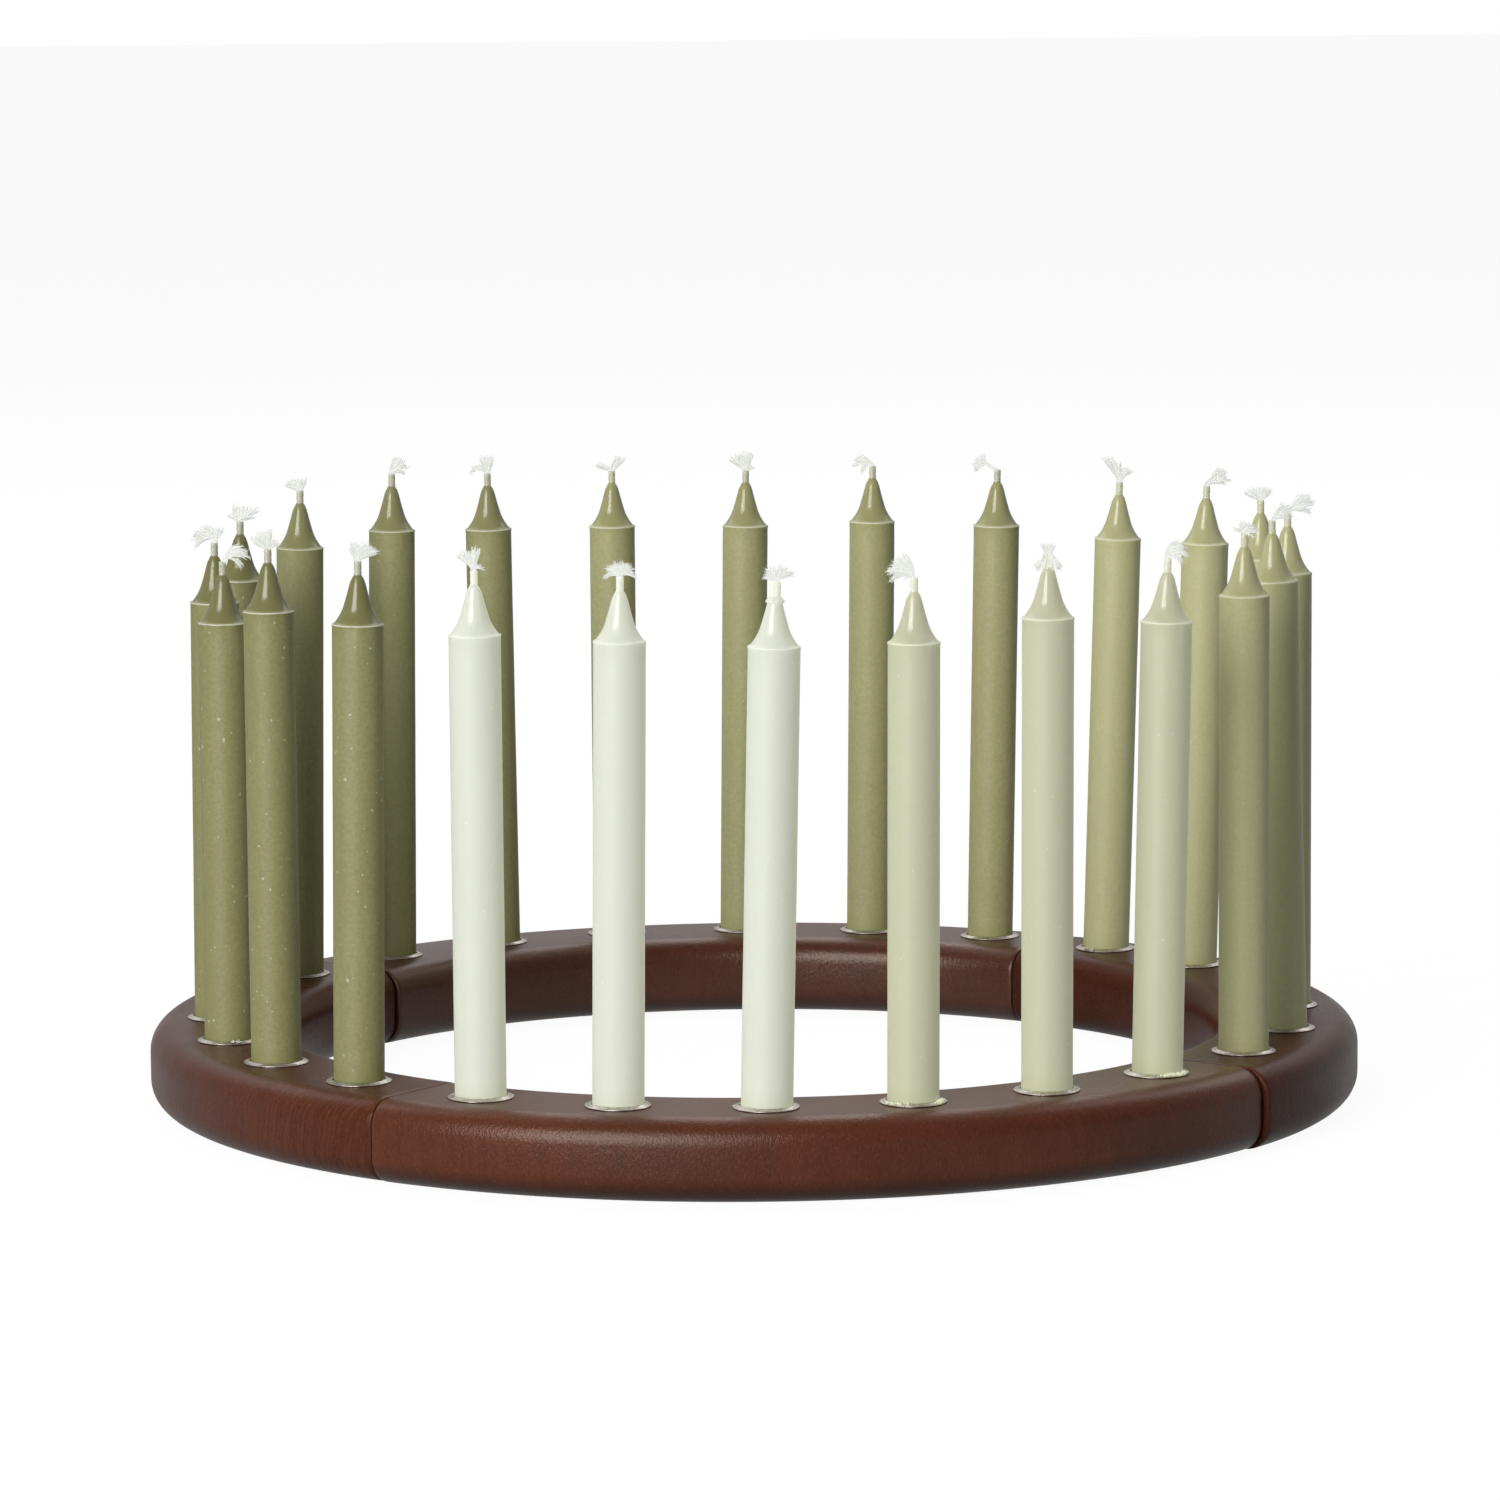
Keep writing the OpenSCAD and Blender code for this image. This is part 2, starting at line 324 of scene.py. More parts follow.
def candle_stand(side, k):
    """Matrix from a candle's own frame, its foot at the origin, to the row frame; its height."""
    axis = LIFT_AXES[f"{side}_candle_{k}"].normalized()
    across = Vector((axis.z, 0, -axis.x))
    depth = Vector((0, 1, 0))
    spots = [v.co / MM for v in frame["nodes"][f"candle_{side}_{k}"].data.vertices]
    along = [p.dot(axis) for p in spots]
    sideways = [p.dot(across) for p in spots]
    deep = [p.dot(depth) for p in spots]
    foot = (
        axis * min(along)
        + across * (min(sideways) + max(sideways)) / 2
        + depth * (min(deep) + max(deep)) / 2
    )
    turned = Matrix((across, depth, axis)).transposed().to_4x4()
    return Matrix.Translation(foot) @ turned, max(along) - min(along)


# Materials

class Tree:
    """Short calls for building a node tree."""

    def __init__(self, tree):
        self.tree = tree

    def add(self, kind, **settings):
        made = self.tree.nodes.new(kind)
        for key, value in settings.items():
            setattr(made, key, value)
        return made

    def link(self, source, target):
        self.tree.links.new(source, target)

    def put(self, socket, value):
        if isinstance(value, bpy.types.NodeSocket):
            self.link(value, socket)
        else:
            socket.default_value = value

    def ramp(self, value, low, high, bottom=0.0, top=1.0, kind="SMOOTHSTEP"):
        """Maps value from low..high to bottom..top, clamped, smooth unless kind says otherwise."""
        made = self.add("ShaderNodeMapRange", interpolation_type=kind)
        ends = {"From Min": low, "From Max": high, "To Min": bottom, "To Max": top}
        for key, number in ends.items():
            made.inputs[key].default_value = number
        self.link(value, made.inputs["Value"])
        return made.outputs["Result"]

    def math(self, operation, first, second=0.0):
        made = self.add("ShaderNodeMath", operation=operation)
        self.put(made.inputs[0], first)
        self.put(made.inputs[1], second)
        return made.outputs["Value"]

    def part(self, vector, axis):
        parts = self.add("ShaderNodeSeparateXYZ")
        self.link(vector, parts.inputs["Vector"])
        return parts.outputs[axis]


class Nodes(Tree):
    """The node tree of one new material."""

    # The Mix node's sockets for colours, whose names its other sockets share
    MIX_FIRST = 6
    MIX_SECOND = 7
    MIX_RESULT = 2

    def __init__(self, name):
        self.material = bpy.data.materials.new(name)
        self.material.use_nodes = True
        super().__init__(self.material.node_tree)
        self.shader = self.tree.nodes["Principled BSDF"]

    def place(self, scale=(1, 1, 1), turn=0, shift=(0, 0, 0), tilt=0):
        """Object coordinates in metres, turned about Z, tilted about the new Y, scaled, shifted."""
        vector = self.add("ShaderNodeTexCoord").outputs["Object"]
        for settings in (
            {"Rotation": (0, 0, math.radians(turn))},
            {"Rotation": (0, math.radians(tilt), 0)},
            {"Scale": scale, "Location": shift},
        ):
            step = self.add("ShaderNodeMapping")
            for key, value in settings.items():
                step.inputs[key].default_value = value
            self.link(vector, step.inputs["Vector"])
            vector = step.outputs["Vector"]
        return vector

    def noise(self, vector, scale, detail=2, rough=0.5):
        made = self.add("ShaderNodeTexNoise")
        made.inputs["Scale"].default_value = scale
        made.inputs["Detail"].default_value = detail
        made.inputs["Roughness"].default_value = rough
        self.link(vector, made.inputs["Vector"])
        return made.outputs["Fac"]

    def spots(self, vector, scale):
        made = self.add("ShaderNodeTexVoronoi")
        made.inputs["Scale"].default_value = scale
        self.link(vector, made.inputs["Vector"])
        return made.outputs["Distance"]

    def mix(self, share, first, second, blend="MIX"):
        made = self.add("ShaderNodeMix", data_type="RGBA", blend_type=blend)
        self.put(made.inputs["Factor"], share)
        self.put(made.inputs[self.MIX_FIRST], first)
        self.put(made.inputs[self.MIX_SECOND], second)
        return made.outputs[self.MIX_RESULT]

    def bump(self, height, distance, strength=1.0, under=None):
        made = self.add("ShaderNodeBump")
        made.inputs["Distance"].default_value = distance
        made.inputs["Strength"].default_value = strength
        self.link(height, made.inputs["Height"])
        if under is not None:
            self.link(under, made.inputs["Normal"])
        return made.outputs["Normal"]

    def upward(self):
        """How far the surface faces up, from -1 to 1."""
        return self.part(self.add("ShaderNodeTexCoord").outputs["Normal"], "Z")

    def attribute(self, name):
        made = self.add("ShaderNodeAttribute", attribute_name=name)
        return made.outputs["Fac"]

    def set(self, **values):
        for key, value in values.items():
            self.put(self.shader.inputs[key.replace("_", " ")], value)


def tint(colour, factor):
    return (*[min(1, c * factor) for c in colour[:3]], 1)


def painted_cone_shade(colour, factor):
    """Painted shade for the glossy cone: its colour is made darker and fuller than the body's, for
    how its gloss takes the light.
    """
    fuller = 1 - 0.35 * (1 - factor)
    red, green, blue = [c * factor for c in colour[:3]]
    return (red, green * (0.85 + 0.15 * fuller), blue * fuller, 1)


def blend_colour(first, second, share):
    return (*[a + (b - a) * share for a, b in zip(first[:3], second[:3])], 1)


BEECH = srgb(106, 53, 33)
BEECH_DARK = srgb(64, 34, 24)
BEECH_LIGHT = srgb(122, 70, 47)
# Painted shading: the colour that faces looking up take, for how the light falls on them, not a
# different wood
BEECH_TOP_PAINTED_SHADING = srgb(94, 54, 38)
# Painted shade: the colour of the downward faces, which lie in shade
BEECH_PAINTED_UNDER_SHADE = srgb(48, 24, 18)
BEECH_END = srgb(46, 25, 19)
DUST = srgb(150, 120, 104)
# By arc: how light the stain came out, how strongly the grain ripples near the seam,
# how strongly the lacquer mirrors, and how strong the painted shade on the lower rounding is
STAIN = (0.88, 0.7, 0.76, 0.74)
RIPPLE = (0, 0.05, 0.05, 0.42)
GLOSS = (0.38, 0.14, 0.6, 0.2)
UNDER = (0.8, 0.5, 0.6, 0.3)
# Scales of the grain, the short dark and light flecks and the ripples, along, across and up an arc
GRAIN_SCALE = (90, 420, 30)
FLECK_SCALE = (1700, 1700, 1000)
FLECK_TURN = 20
RIPPLE_SCALE = (1150, 70, 50)
RIPPLE_TILT = -8
# Where the ripples fade in, in metres along the arc's chord from its middle
RIPPLE_SPAN = (0.05, 0.085)


def stained_beech(arc):
    """Dark stained beech whose straight grain runs along the chord of its own arc."""
    m = Nodes(f"stained_beech_{SIDES[arc]}")
    turn = -(RING_TURN + ARC_SPAN * arc)
    offset = 0.37 * (arc + 1)
    grain = m.place(scale=GRAIN_SCALE, turn=turn, shift=(offset, offset, 0))
    flecks = m.place(scale=FLECK_SCALE, turn=turn + FLECK_TURN, shift=(offset, 0, offset))
    aside = (offset, offset, offset)
    ripples = m.place(scale=RIPPLE_SCALE, turn=turn, shift=aside, tilt=RIPPLE_TILT)
    fibre = m.noise(grain, 2.0, detail=6, rough=0.65)
    dashes = m.noise(flecks, 1.0, detail=3, rough=0.6)
    light_dashes = m.ramp(dashes, 0.54, 0.7)
    dark_dashes = m.ramp(dashes, 0.46, 0.3)
    blotch = m.noise(m.place(shift=(offset, 0, 0)), 24, detail=3)
    colour = m.mix(m.ramp(blotch, 0.3, 0.7, 0, 0.5), BEECH, BEECH_DARK)
    colour = m.mix(m.ramp(fibre, 0.35, 0.7, 0, 0.28), colour, BEECH_DARK)
    near_seam = m.ramp(m.part(m.place(turn=turn), "X"), *RIPPLE_SPAN)
    stripes = m.math("MULTIPLY", m.ramp(m.noise(ripples, 1.0, detail=1), 0.42, 0.62), near_seam)
    colour = m.mix(m.math("MULTIPLY", stripes, RIPPLE[arc]), colour, BEECH_LIGHT)
    colour = m.mix(m.math("MULTIPLY", light_dashes, 0.5), colour, BEECH_LIGHT)
    colour = m.mix(m.math("MULTIPLY", dark_dashes, 0.55), colour, BEECH_DARK)
    # Painted shading: faces that look up take their own colour, for how the light falls on them
    colour = m.mix(m.ramp(m.upward(), 0.86, 0.99, 0, 0.8), colour, BEECH_TOP_PAINTED_SHADING)
    # Painted shade on the lower rounding, darker the more it faces down, as strong as UNDER gives
    # for the arc
    colour = m.mix(m.ramp(m.upward(), -0.85, -0.02, UNDER[arc], 0), colour, BEECH_PAINTED_UNDER_SHADE)
    colour = m.mix(m.math("MULTIPLY", m.attribute("end_grain"), 0.6), colour, BEECH_END)
    dust = m.ramp(m.spots(m.place(shift=(0, 0, offset)), 230), 0.0, 0.05, 1, 0)
    colour = m.mix(1.0, colour, (STAIN[arc], STAIN[arc], STAIN[arc], 1), "MULTIPLY")
    colour = m.mix(m.math("MULTIPLY", dust, 0.3), colour, DUST)
    ripple = m.bump(m.noise(grain, 1.4, detail=3), 0.00004)
    m.set(
        Base_Color=colour,
        Roughness=m.ramp(blotch, 0.3, 0.7, 0.25, 0.34),
        Normal=m.bump(dashes, 0.00012, 1.0, under=ripple),
        IOR=1.5,
        Specular_Tint=(1, 0.86, 0.74, 1),
        Specular_IOR_Level=GLOSS[arc],
    )
    return m.material


# The sheet's two greys, from pale to dull
METAL_PALE = srgb(206, 200, 191)
METAL_DULL = srgb(178, 170, 164)


def cup_metal():
    """Thin pressed sheet, pale and a little wavy."""
    m = Nodes("cup_metal")
    place = m.place()
    waves = m.noise(place, 260, detail=2)
    marks = m.noise(place, 1500, detail=2)
    m.set(
        Base_Color=m.mix(m.ramp(marks, 0.35, 0.65), METAL_PALE, METAL_DULL),
        Metallic=1.0,
        Roughness=m.ramp(waves, 0.3, 0.7, 0.3, 0.48),
        Normal=m.bump(waves, 0.00025, 0.7),
    )
    return m.material


# What the wax turns to where it is chalky and on the waxed stub, and the colour of its painted glow
CHALK = srgb(242, 242, 230)
WAXED_COTTON = srgb(232, 232, 216)
PAINTED_GLOW_COLOUR = srgb(209, 211, 172)
# Painted shade near the cup: the wax is darkened there by this tint, over how many mm, and how
# strongly
NEAR_CUP_PAINTED_SHADE = (0.82, 0.84, 0.68)
NEAR_CUP_SHADE_SPAN = (0.5, 6)
NEAR_CUP_SHADE_SHARE = 0.6


def candle_wax(shade):
    """Solid dyed wax: matt and mottled on the body, glossier on the cone, pale along the ridge,
    with painted shade on the cone and near the cup and a painted glow on the pale shades.
    """
    m = Nodes(f"wax_{shade}")
    colour = WAX[shade]
    speckled = shade > 5
    above = m.attribute("above_shoulder")
    place = m.place()
    pale = blend_colour(colour, CHALK, 0.7)
    uneven = MOTTLE[shade]
    mottle = m.noise(place, 1000, detail=4, rough=0.65)
    cloud = m.noise(place, 60, detail=2)
    on_cone = m.ramp(above, 0.2, 0.9)
    body = m.mix(m.ramp(mottle, 0.32, 0.68), tint(colour, 1 - uneven), tint(colour, 1 + uneven))
    body = m.mix(m.ramp(cloud, 0.3, 0.7, 0, 0.35), body, tint(colour, 1 - uneven))
    speck_size = m.ramp(m.noise(place, 900, detail=0), 0.48, 0.85, 0.0, 0.3 if speckled else 0.18)
    specks = m.math("LESS_THAN", m.spots(place, 420), speck_size)
    speck_share = m.ramp(above, -0.5, 0.0, 0.55 if speckled else 0.3, 0.1)
    specks = m.math("MULTIPLY", specks, speck_share)
    body = m.mix(specks, body, pale)
    # Painted shade: the wax is darkened and greened towards its cup
    painted_cup_shade = m.ramp(m.attribute("above_cup"), *NEAR_CUP_SHADE_SPAN, NEAR_CUP_SHADE_SHARE, 0)
    body = m.mix(painted_cup_shade, body, (*[c * t for c, t in zip(colour, NEAR_CUP_PAINTED_SHADE)], 1))
    # Painted shade: the cone takes a darker, fuller copy of the wax colour
    body = m.mix(on_cone, body, painted_cone_shade(colour, CONE_PAINTED_SHADE[shade]))
    rim_up = m.ramp(above, -0.1, 0.03)
    rim_down = m.ramp(above, 0.18, 0.3, 1, 0)
    rim = m.math("MULTIPLY", m.math("MULTIPLY", rim_up, rim_down), RIDGE_PALE[shade])
    body = m.mix(rim, body, pale)
    stub = m.ramp(above, CONE_H - 0.3, CONE_H + 0.4)
    body = m.mix(m.math("MULTIPLY", stub, 0.85), body, blend_colour(colour, WAXED_COTTON, 0.72))
    on_body = m.ramp(above, -0.3, 0.1, 1, 0)
    grain = m.bump(m.math("MULTIPLY", mottle, on_body), 0.00005, 10 * uneven)
    m.set(
        Base_Color=body,
        Roughness=m.ramp(above, 0.1, 0.8, 0.5, 0.19 if shade > 1 else 0.25),
        Normal=m.bump(m.math("MULTIPLY", specks, on_body), 0.00008, 0.6, under=grain),
        IOR=1.44,
        Specular_IOR_Level=0.65,
        Subsurface_Weight=0.8 if shade < 5 else 0.3,
        Subsurface_Radius=(1.0, 1.0, 0.85),
        Subsurface_Scale=SCATTER[shade] * MM,
        # Painted glow: emission on the pale shades stands in for light that passes through the wax
        Emission_Color=blend_colour(colour, PAINTED_GLOW_COLOUR, 0.5),
        Emission_Strength=PAINTED_INNER_GLOW[shade],
    )
    return m.material


def cotton():
    """Loose cotton, whose weak glow stands in for the light that passes through its fibres."""
    m = Nodes("cotton")
    fuzz = m.noise(m.place(), 2600, detail=3)
    m.set(
        Base_Color=m.mix(m.ramp(fuzz, 0.3, 0.7), srgb(190, 192, 187), srgb(172, 174, 169)),
        Roughness=0.95,
        Specular_IOR_Level=0.1,
        Subsurface_Weight=0.8,
        Subsurface_Radius=(1.0, 1.0, 0.95),
        Subsurface_Scale=1.2 * MM,
        Emission_Color=srgb(233, 235, 230),
        Emission_Strength=0.4,
        Normal=m.bump(fuzz, 0.00005, 0.8),
    )
    return m.material


COTTON = cotton()
CUP_METAL = cup_metal()
WAX_MATERIALS = {shade: candle_wax(shade) for shade in WAX}


# The wooden arcs

def band_outline(inset, steps=10):
    """Band section as (across, up) points, with its outline moved in by inset."""
    points = []
    corner_r = EDGE_R - inset
    for corner in range(4):
        right = 1 if corner in (0, 3) else -1
        up = 1 if corner in (0, 1) else -1
        centre_x = right * (BAND_W / 2 - EDGE_R)
        centre_z = up * (RING_H / 2 - EDGE_R)
        for i in range(steps + 1):
            angle = math.pi / 2 * (corner + i / steps)
            points.append((
                centre_x + corner_r * math.cos(angle),
                RING_H / 2 + centre_z + corner_r * math.sin(angle),
            ))
    return points


def arc_stations(steps=72, ease_steps=4):
    """Shares of the arc's span from end to end, with the inset that eases each end edge."""
    span = ARC_SPAN - math.degrees(JOINT_GAP / CUP_CIRCLE_R)
    eased = []
    for i in range(ease_steps):
        angle = math.pi / 2 * i / ease_steps
        inset = END_EASE * (1 - math.sin(angle))
        back = END_EASE * (1 - math.cos(angle))
        eased.append((math.degrees(back / CUP_CIRCLE_R), inset))
    middle = [(span * (i + 0.5) / steps, 0) for i in range(steps)]
    end = [(span - turn, inset) for turn, inset in reversed(eased)]
    return [(turn - span / 2, inset) for turn, inset in eased + middle + end]


def wooden_arc(arc):
    """A quarter of the band, with eased end edges and a blind hole under each cup."""
    side = SIDES[arc]
    centre = arc_centre(arc)
    points = []
    stations = arc_stations()
    for turn, inset in stations:
        for across, up in band_outline(inset):
            where = RING_TURN + ARC_SPAN * arc + turn
            spot = centre + on_circle(RING_R - BAND_W / 2 + across, where)
            points.append((spot.x, spot.y, up))
    count = len(band_outline(0))
    faces = ring_faces(len(stations), count)
    faces.append(tuple(reversed(range(count))))
    faces.append(tuple(range(len(points) - count, len(points))))
    wood = stained_beech(arc)
    made = piece(f"arc_{side}", points, faces, f"{side}_arc", wood, f"ring_arc_{side}")
    made.data.flip_normals()
    drill_holes(made, arc, centre)
    mark_ends(made, arc, centre)


def mark_ends(made, arc, centre):
    """Marks the end faces of an arc, where the stain went in deeper."""
    half_length = math.radians(ARC_SPAN / 2) * CUP_CIRCLE_R
    shares = []
    for vertex in made.data.vertices:
        spot = vertex.co.xy / MM - centre
        turn = math.degrees(math.atan2(spot.x, -spot.y)) - RING_TURN - ARC_SPAN * arc
        turn = (turn + 180) % 360 - 180
        from_end = half_length - math.radians(abs(turn)) * CUP_CIRCLE_R
        shares.append(1.0 if from_end < JOINT_GAP / 2 + 0.1 * END_EASE else 0.0)
    marks = made.data.attributes.new("end_grain", "FLOAT", "POINT")
    marks.data.foreach_set("value", shares)


def drill_holes(made, arc, centre):
    """Cuts the blind holes for the cups out of an arc."""
    points = []
    faces = []
    for k in range(CUPS_PER_ARC):
        spot = centre + on_circle(CUP_CIRCLE_R, cup_turn(arc, k))
        low = Vector((spot.x, spot.y, RING_H - HOLE_DEPTH))
        high = low + Vector((0, 0, 2 * HOLE_DEPTH))
        tube(points, faces, [low, high], [HOLE_R, HOLE_R], HOLE_SEGMENTS)
    mesh = bpy.data.meshes.new("holes")
    mesh.from_pydata([p * MM for p in points], [], faces)
    cutter = bpy.data.objects.new("holes", mesh)
    bpy.context.scene.collection.objects.link(cutter)
    for thing in (made.data, mesh):
        shell = bmesh.new()
        shell.from_mesh(thing)
        bmesh.ops.recalc_face_normals(shell, faces=shell.faces)
        shell.to_mesh(thing)
        shell.free()
    cut = made.modifiers.new("holes", "BOOLEAN")
    cut.operation = "DIFFERENCE"
    cut.solver = "EXACT"
    cut.object = cutter
    apply_modifiers(made)
    bpy.data.objects.remove(cutter)
    made.data.shade_smooth()
    made.data.set_sharp_from_angle(angle=math.radians(SHARP_ANGLE))


def apply_modifiers(thing):
    """Makes the modified mesh the object's own."""
    evaluated = thing.evaluated_get(bpy.context.evaluated_depsgraph_get())
    mesh = bpy.data.meshes.new_from_object(evaluated)
    thing.modifiers.clear()
    thing.data = mesh


# The cups

def cup_outline():
    """Half section of a cup as (radius, height above its floor), from the middle of the floor.

    It runs up inside the wall, over the flared lip, out to the flange's edge and back below.
    """
    top = CUP_DEPTH
    return [
        (0, 0), (CUP_R - 0.8, 0), (CUP_R - 0.2, 0.2), (CUP_R, 0.8), (CUP_R, top - 0.3),
        (CUP_R, top + 0.5), (CUP_R + 0.06, top + 0.74), (CUP_R + 0.22, top + 0.84),
        (CUP_R + 0.42, top + 0.78), (CUP_R + 0.8, top + 0.56), (FLANGE_R - 0.5, top + 0.36),
        (FLANGE_R - 0.3, top + 0.3), (FLANGE_R - 0.1, top + 0.27), (FLANGE_R, top + 0.15),
        (FLANGE_R - 0.08, top + 0.03), (FLANGE_R - 0.35, top + 0.04), (CUP_R + 0.75, top + 0.22),
        (CUP_R + SHEET, top + 0.3), (CUP_R + SHEET, top - 0.1), (CUP_R + SHEET, 0.4),
        (CUP_R + 0.1, -0.3), (CUP_R - 0.8, -SHEET), (0, -SHEET),
    ]


def cup(arc, k):
    """One pressed cup, with a flange that is not quite flat or round."""
    side = SIDES[arc]
    rng = random.Random(100 * arc + k)
    spot = arc_centre(arc) + on_circle(CUP_CIRCLE_R, cup_turn(arc, k))
    phase = rng.uniform(0, 10)
    outline = cup_outline()
    wall_r = CUP_R + SHEET
    points = []
    for radius, up in outline:
        flange = max(0, radius - wall_r) / (FLANGE_R - wall_r) if up > CUP_DEPTH else 0
        for i in range(CUP_SEGMENTS):
            angle = 2 * math.pi * i / CUP_SEGMENTS
            wave = noise.noise(Vector((2 * math.cos(angle), 2 * math.sin(angle), phase)))
            spread = radius + flange * FLANGE_WAVE * wave
            lift = flange * FLANGE_LIFT * (1 + wave)
            points.append((
                spot.x + spread * math.cos(angle),
                spot.y + spread * math.sin(angle),
                RING_H - CUP_DEPTH + up + (lift if up > 0 else 0),
            ))
    faces = ring_faces(len(outline), CUP_SEGMENTS)
    # The first cup stands in place of the node, which holds all six
    node = f"cups_{side}" if k == 0 else None
    made = piece(f"cup_{side}_{k + 1}", points, faces, f"{side}_arc", CUP_METAL, node)
    tidy_poles(made)


def tidy_poles(made):
    """Merges the points that a revolved outline leaves on its axis and turns the faces outwards."""
    shell = bmesh.new()
    shell.from_mesh(made.data)
    bmesh.ops.remove_doubles(shell, verts=shell.verts, dist=1e-6)
    bmesh.ops.recalc_face_normals(shell, faces=shell.faces)
    shell.to_mesh(made.data)
    shell.free()


# The wax

def arc_between(start, end, bulge, steps):
    """Points from start to end along a curve whose middle stands out by bulge, without start."""
    along = end - start
    normal = Vector((along.y, -along.x)).normalized()
    return [
        start + along * (i / steps) + normal * 4 * bulge * (i / steps) * (1 - i / steps)
        for i in range(1, steps + 1)
    ]


def wax_outline(shoulder):
    """Half section of a candle's surface as (radius, height) from the middle of its foot up."""
    outline = [Vector((0, 0)), Vector((CANDLE_R - FOOT_BEVEL, 0)), Vector((CANDLE_R, FOOT_BEVEL))]
    straight = shoulder - 0.6 - FOOT_BEVEL
    outline += [
        Vector((CANDLE_R, FOOT_BEVEL + straight * i / WAX_ROWS)) for i in range(1, WAX_ROWS + 1)
    ]
    outline += [Vector((CANDLE_R + r, shoulder + z)) for r, z in RIDGE_OUTLINE]
    for (radius, above), bulge, steps in (
        (HOLLOW_TOP, -0.36, 12),
        (CAP_FOOT, -0.03, 5),
        ((STUB_R, CONE_H), 0.15, 8),
    ):
        outline += arc_between(outline[-1], Vector((radius, shoulder + above)), bulge, steps)
    outline += [Vector((STUB_R, shoulder + CONE_H + STUB_H * i / 6)) for i in range(1, 7)]
    outline += [Vector((STUB_R - 0.2, outline[-1].y + 0.15)), Vector((0, outline[-1].y + 0.2))]
    return outline


def wax_radius(radius, up, angle, shoulder, seed, stub_share, chips):
    """A candle's radius with the small faults of dipped wax."""
    above = up - shoulder
    where = Vector((math.cos(angle), math.sin(angle), seed))
    if above < -1:
        return radius + BODY_WAVE * noise.noise(Vector((where.x, where.y, up * 0.06 + seed)))
    if above < 1:
        bead = noise.noise(Vector((9 * where.x, 9 * where.y, seed)))
        nick = 0.7 * max(0, noise.noise(Vector((3 * where.x, 3 * where.y, seed + 5))) - 0.35)
        for turn, depth in chips:
            aside = (math.degrees(angle) - 270 - turn + 180) % 360 - 180
            nick += depth * math.exp(-(aside / CHIP_WIDTH) ** 2) * (1 - above * above)
        return radius + RIDGE_BEAD * bead - nick
    if above > CONE_H - 1.5:
        share = min(1, (above - CONE_H + 1.5) / 1.5)
        twist = BRAID_TWIST * above
        braid = math.cos(2 * angle + twist) * math.cos(angle - twist)
        wide = 1 + (stub_share - 1) * abs(math.cos(angle))
        return radius * wide * (1 + BRAID_RELIEF * share * braid)
    return radius


def candle(side, k):
    """One candle's wax, in place of its CAD node."""
    matrix, height = candle_stand(side, k)
    shoulder = height - CONE_H - STUB_H
    seed = 7.3 * SIDES.index(side) + k
    stub_share = WIDE_STUBS.get((side, k), 1)
    chips = CHIPS.get((side, k), [])
    outline = wax_outline(shoulder)
    points = []
    for radius, up in outline:
        for i in range(WAX_SEGMENTS):
            angle = 2 * math.pi * i / WAX_SEGMENTS
            wavy = 0
            if radius:
                wavy = wax_radius(radius, up, angle, shoulder, seed, stub_share, chips)
            points.append(matrix @ Vector((wavy * math.cos(angle), wavy * math.sin(angle), up)))
    faces = ring_faces(len(outline), WAX_SEGMENTS)
    shade = WAX_OF[side][k - 1]
    wax = WAX_MATERIALS[shade]
    made = piece(f"wax_{side}_{k}", points, faces, f"{side}_candle_{k}", wax, f"candle_{side}_{k}")
    for name, level in (("above_shoulder", shoulder), ("above_cup", CUP_DEPTH)):
        above = made.data.attributes.new(name, "FLOAT", "POINT")
        heights = [up - level for radius, up in outline for i in range(WAX_SEGMENTS)]
        above.data.foreach_set("value", heights)
    tidy_poles(made)
    return matrix, height


def crumbs(side, k):
    """Crumbs of wax that lie on a cup's flange."""
    arc = SIDES.index(side)
    spot = arc_centre(arc) + on_circle(CUP_CIRCLE_R, cup_turn(arc, k - 1))
    rng = random.Random(900 + 10 * arc + k)
    heap = bmesh.new()
    for turn, half, count in CRUMBS[(side, k)]:
        for n in range(count):
            size = rng.uniform(*CRUMB_R)
            out = rng.uniform(*CRUMB_OUT)
            place = spot + on_circle(CUP_R + out, turn + rng.gauss(0, half / 2))
            up = RING_H + LIP_TOP - FLANGE_FALL * out + 0.4 * size
            middle = Vector((place.x, place.y, up)) * MM
            made = bmesh.ops.create_icosphere(heap, subdivisions=2, radius=size * MM)
            flat = Vector((rng.uniform(0.7, 1.5), rng.uniform(0.7, 1.5), rng.uniform(0.6, 0.9)))
            for vertex in made["verts"]:
                dent = 1 + 0.45 * noise.noise(vertex.co / MM * 4 + Vector((n, turn, k)))
                vertex.co = middle + vertex.co * flat * dent
    mesh = bpy.data.meshes.new(f"crumbs_{side}_{k}")
    heap.to_mesh(mesh)
    heap.free()
    shade = WAX_OF[side][k - 1]
    thing = show(mesh.name, mesh, f"{side}_arc", WAX_MATERIALS[shade])


# The wicks

def heading(turn, depth):
    """The way that is turned so far from straight up to the right, and so far to the back."""
    turn = math.radians(turn)
    depth = math.radians(depth)
    flat = math.cos(depth)
    return Vector((math.sin(turn) * flat, math.sin(depth), math.cos(turn) * flat))


